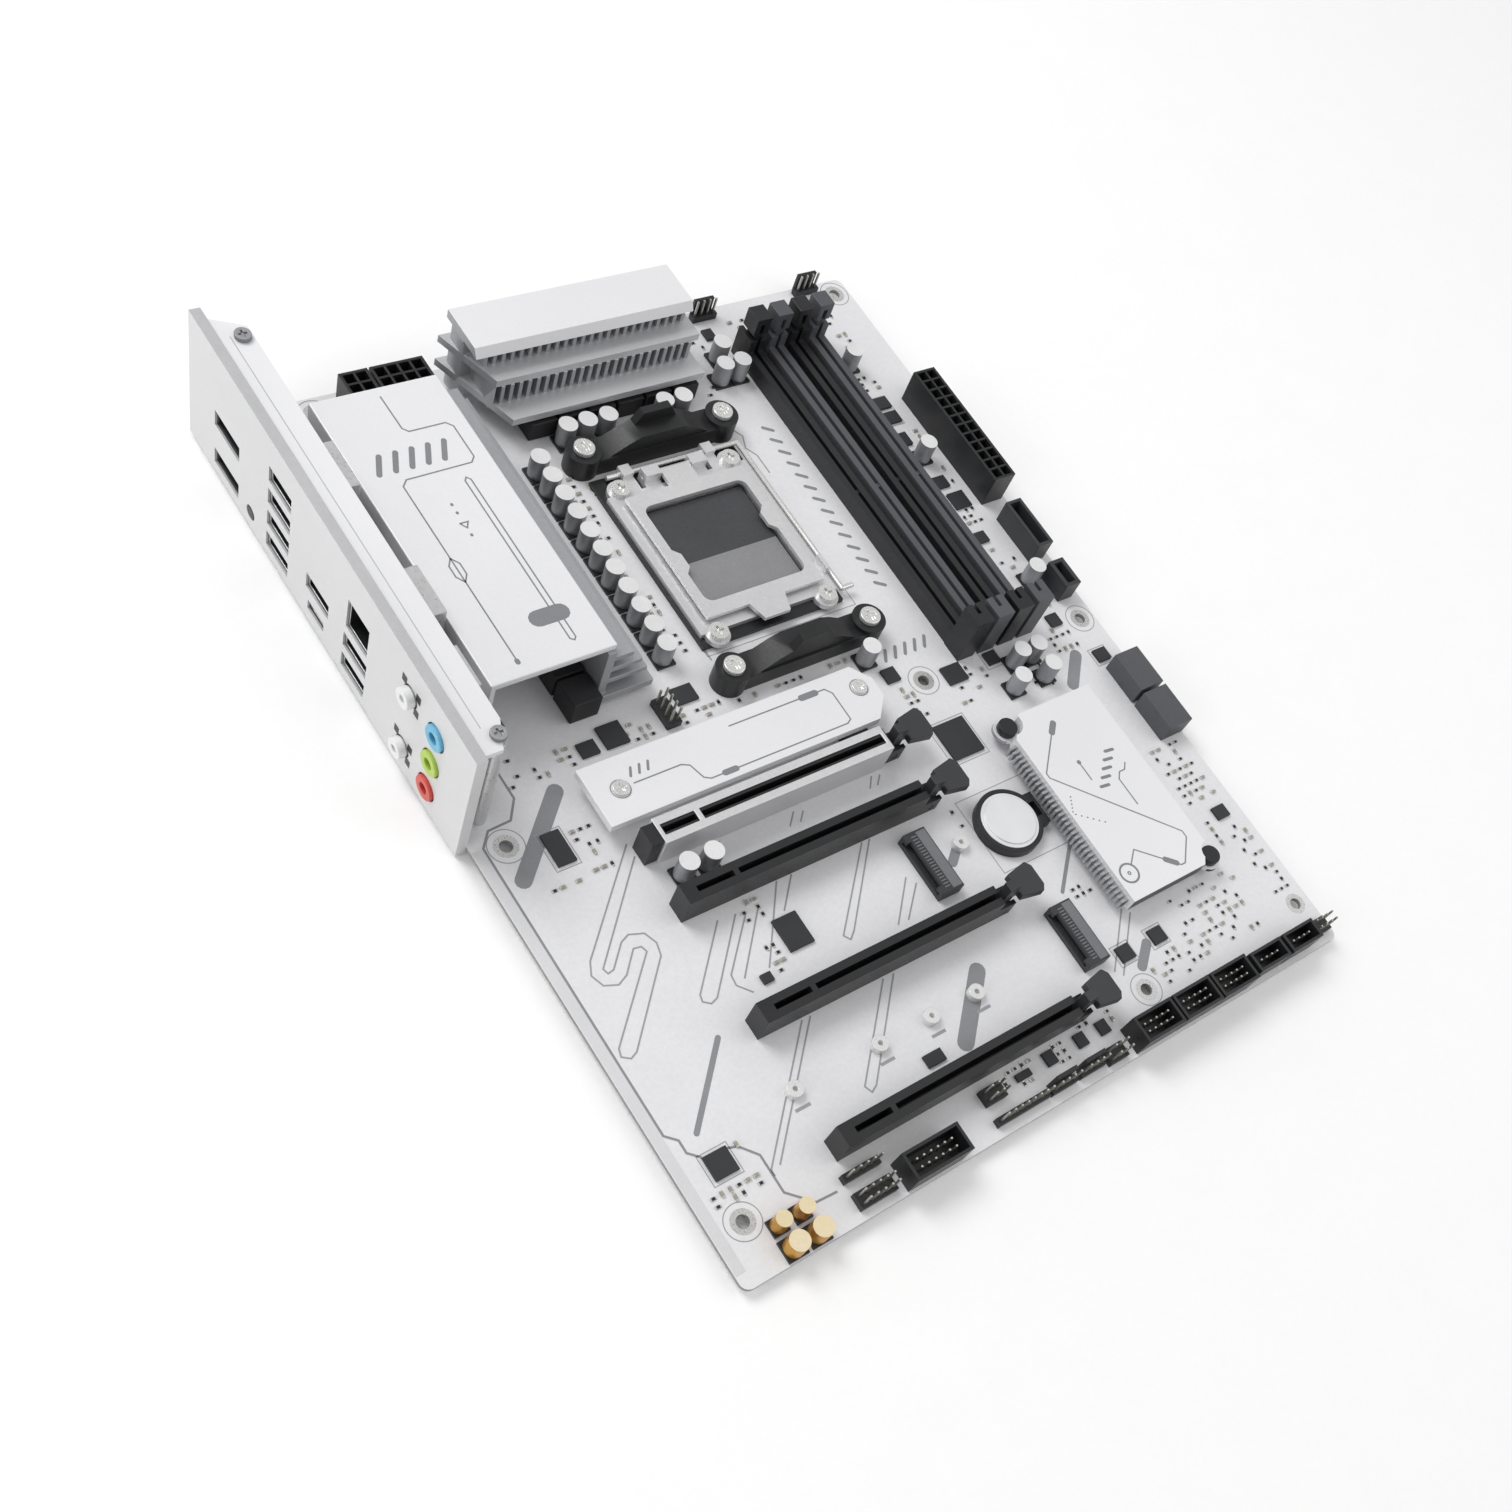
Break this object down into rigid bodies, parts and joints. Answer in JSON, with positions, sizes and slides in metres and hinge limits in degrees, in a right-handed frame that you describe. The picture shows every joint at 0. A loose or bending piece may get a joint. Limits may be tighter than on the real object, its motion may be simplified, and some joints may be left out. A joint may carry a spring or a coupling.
{
  "type": "motherboard",
  "caption": "Full-size white desktop motherboard with silver heatsinks, processor socket, memory, expansion and drive slots, rear connector panel and pin headers.",
  "frame": {"origin": "centre of the four lower standoff holes, on the underside of the board", "axes": "+X from the rear connectors to the front edge, +Y to the top edge, +Z out of the component side"},
  "size_m": [0.2495, 0.3058, 0.0471],
  "materials": {
    "white_laminate": "satin white solder mask",
    "rear_plate_steel": "satin silver paint",
    "silver_aluminium": "fine bead-blasted anodise",
    "grey_aluminium": "satin anodise",
    "port_steel": "plain plated steel",
    "screw_steel": "bright plated",
    "socket_steel": "bright stamped",
    "backplate_steel": "satin black paint",
    "port_black": "matt",
    "black_plastic": "fine matt",
    "dark_plastic": "fine matt",
    "slot_plastic": "matt, every second slot grey",
    "grey_plastic": "fine matt",
    "white_plastic": "satin",
    "blue_plastic": "satin",
    "green_plastic": "satin",
    "red_plastic": "satin",
    "ferrite": "cast",
    "chip_resin": "moulded resin",
    "thermal_pad": "soft",
    "standoff_brass": "plated",
    "can_aluminium": "bright drawn"
  },
  "bodies": {
    "board_assembly": {"board": "white_laminate", "rear_plate": "rear_plate_steel", "rear_cover": "silver_aluminium", "cover_posts": "port_steel", "cover_screws": "screw_steel", "video_ports": "port_black", "usb_stack": "port_black", "usb_c_stack": "port_steel", "network_stack": "port_steel", "wireless_module": "port_steel", "antenna_posts": "white_plastic", "audio_block": "dark_plastic", "audio_jack_blue": "blue_plastic", "audio_jack_green": "green_plastic", "audio_jack_red": "red_plastic", "button_switch": "dark_plastic", "rear_sink_cover": "silver_aluminium", "rear_sink_fins": "grey_aluminium", "top_sink": "grey_aluminium", "rear_chokes": "ferrite", "top_chokes": "ferrite", "power_stages": "chip_resin", "thermal_pads": "thermal_pad", "socket_base": "black_plastic", "socket_frame": "socket_steel", "socket_contacts": "dark_plastic", "socket_screws": "screw_steel", "socket_backplate": "backplate_steel", "cooler_bracket_top": "black_plastic", "cooler_bracket_low": "black_plastic", "cooler_screws": "screw_steel", "dimm_slots": "slot_plastic", "pcie_slot_1": "black_plastic", "pcie_armour_1": "port_steel", "pcie_slots": "black_plastic", "drive_sink": "silver_aluminium", "drive_sink_screws": "screw_steel", "drive_sockets": "dark_plastic", "drive_standoffs": "standoff_brass", "chipset": "chip_resin", "chipset_sink": "silver_aluminium", "chipset_pins": "black_plastic", "cell_holder": "black_plastic", "coin_cell": "screw_steel", "power_sockets": "black_plastic", "data_ports": "dark_plastic", "headers": "black_plastic", "capacitors": "can_aluminium", "chips": "chip_resin"},
    "load_plate_door": {"load_plate": "socket_steel"},
    "load_lever_arm": {"load_lever": "screw_steel"},
    "flash_button_cap": {"flash_button": "dark_plastic"},
    "memory_latch_1": {"dimm_latch_1": "black_plastic"},
    "card_latch_1": {"pcie_latch_1": "dark_plastic"},
    "memory_latch_2": {"dimm_latch_2": "grey_plastic"},
    "card_latch_2": {"pcie_latch_2": "dark_plastic"},
    "memory_latch_3": {"dimm_latch_3": "black_plastic"},
    "card_latch_3": {"pcie_latch_3": "dark_plastic"},
    "memory_latch_4": {"dimm_latch_4": "grey_plastic"},
    "card_latch_4": {"pcie_latch_4": "dark_plastic"}
  },
  "joints": [
    {"name": "load_plate_hinge", "type": "hinge", "parent": "board_assembly", "child": "load_plate_door", "pos_m": [0.00468, 0.16306, 0.00637], "axis": [-1, 0, 0], "range_deg": [0, 95]},
    {"name": "load_lever_hinge", "type": "hinge", "parent": "board_assembly", "child": "load_lever_arm", "pos_m": [0.00468, 0.16706, 0.00477], "axis": [-1, 0, 0], "range_deg": [0, 105]},
    {"name": "flash_button_press", "type": "slide", "parent": "board_assembly", "child": "flash_button_cap", "axis": [1, 0, 0], "range_m": [0, 0.0006], "stiffness_N_per_m": 300},
    {"name": "memory_latch_1_tip", "type": "hinge", "parent": "board_assembly", "child": "memory_latch_1", "pos_m": [0.06087, 0.20156, 0.00507], "axis": [-1, 0, 0], "range_deg": [0, 30]},
    {"name": "memory_latch_2_tip", "type": "hinge", "parent": "board_assembly", "child": "memory_latch_2", "pos_m": [0.06993, 0.20156, 0.00507], "axis": [-1, 0, 0], "range_deg": [0, 30]},
    {"name": "memory_latch_3_tip", "type": "hinge", "parent": "board_assembly", "child": "memory_latch_3", "pos_m": [0.07899, 0.20156, 0.00507], "axis": [-1, 0, 0], "range_deg": [0, 30]},
    {"name": "memory_latch_4_tip", "type": "hinge", "parent": "board_assembly", "child": "memory_latch_4", "pos_m": [0.08805, 0.20156, 0.00507], "axis": [-1, 0, 0], "range_deg": [0, 30]},
    {"name": "card_latch_1_tip", "type": "hinge", "parent": "board_assembly", "child": "card_latch_1", "pos_m": [0.01197, 0.04406, 0.00417], "axis": [0, 1, 0], "range_deg": [0, 15]},
    {"name": "card_latch_2_tip", "type": "hinge", "parent": "board_assembly", "child": "card_latch_2", "pos_m": [0.01197, 0.02374, 0.00417], "axis": [0, 1, 0], "range_deg": [0, 15]},
    {"name": "card_latch_3_tip", "type": "hinge", "parent": "board_assembly", "child": "card_latch_3", "pos_m": [0.01197, -0.0169, 0.00417], "axis": [0, 1, 0], "range_deg": [0, 15]},
    {"name": "card_latch_4_tip", "type": "hinge", "parent": "board_assembly", "child": "card_latch_4", "pos_m": [0.01197, -0.05754, 0.00417], "axis": [0, 1, 0], "range_deg": [0, 15]}
  ]
}
